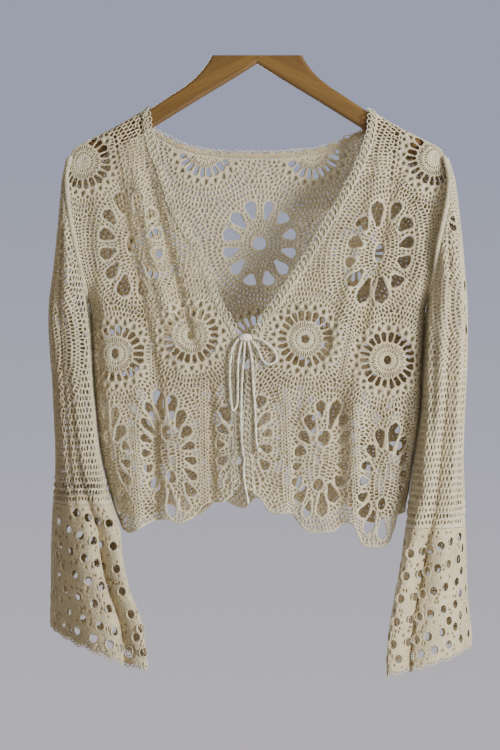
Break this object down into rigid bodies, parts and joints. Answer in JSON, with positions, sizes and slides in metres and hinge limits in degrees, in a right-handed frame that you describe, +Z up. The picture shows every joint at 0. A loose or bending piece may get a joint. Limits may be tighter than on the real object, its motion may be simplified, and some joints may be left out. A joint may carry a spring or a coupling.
{
  "type": "cropped crochet cardigan with a tie front, hung on a wooden hanger",
  "caption": "Cropped open-work crochet cardigan with a deep V neck, tie front and bell cuffs, hung as worn on a plain flat-topped wooden hanger.",
  "frame": {"origin": "middle of the hanger's flat crown, where its hook is fixed", "axes": "+Z up; the wearer's front faces -Y; the sleeve seen at the left is at -X"},
  "size_m": [0.4917, 0.0952, 0.703],
  "materials": {
    "crochet_lace": "cream cotton crochet lace",
    "crochet_cuff": "denser cream cotton crochet with eyelets",
    "crochet_border": "cream cotton shell-stitch edging",
    "tie_cord": "off-white cotton cord",
    "hanger_wood": "light brown wood, satin varnish"
  },
  "bodies": {
    "root": {"back_panel": "crochet_lace", "front_left": "crochet_lace", "front_right": "crochet_lace", "sleeve_left_front": "crochet_lace", "sleeve_left_back": "crochet_lace", "sleeve_right_front": "crochet_lace", "sleeve_right_back": "crochet_lace", "cuff_left_front": "crochet_cuff", "cuff_left_back": "crochet_cuff", "cuff_right_front": "crochet_cuff", "cuff_right_back": "crochet_cuff", "neck_border_back": "crochet_border", "front_border_left": "crochet_border", "front_border_right": "crochet_border", "tie_loop_left": "tie_cord", "tie_loop_right": "tie_cord", "tie_tail_left": "tie_cord", "tie_tail_right": "tie_cord", "tie_knot": "tie_cord", "tie_end_knot": "tie_cord", "hanger": "hanger_wood"}
  },
  "joints": []
}
